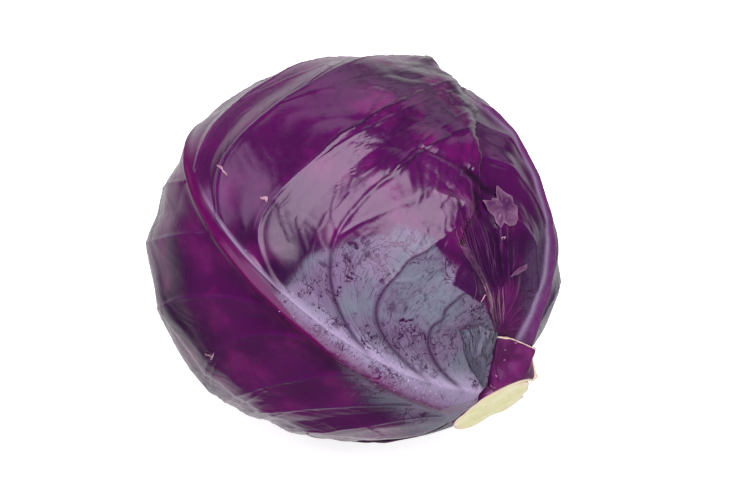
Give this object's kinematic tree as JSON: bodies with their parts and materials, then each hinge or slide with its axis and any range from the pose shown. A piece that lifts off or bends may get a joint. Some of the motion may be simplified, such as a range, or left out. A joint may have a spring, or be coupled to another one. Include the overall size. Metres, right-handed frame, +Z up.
{
  "type": "red cabbage",
  "caption": "Round head of red cabbage lying on its side: ribbed wrapper leaves lapped over a dense heart, with a cut stalk.",
  "frame": {"origin": "bottom centre of the bounding box, on the surface that the head lies on", "axes": "+Z up; +X horizontally towards the cut stalk, which points 21.5 degrees below the horizontal"},
  "size_m": [0.1584, 0.1487, 0.1447],
  "materials": {
    "cut_stalk": "matte",
    "inner_leaf": "satin",
    "wrapper_leaf": "gloss"
  },
  "bodies": {
    "root": {"stalk": "cut_stalk", "heart": "inner_leaf", "wrapper_leaf_1": "wrapper_leaf", "wrapper_leaf_2": "wrapper_leaf", "wrapper_leaf_3": "wrapper_leaf", "wrapper_leaf_4": "wrapper_leaf", "wrapper_leaf_5": "wrapper_leaf"}
  },
  "joints": []
}
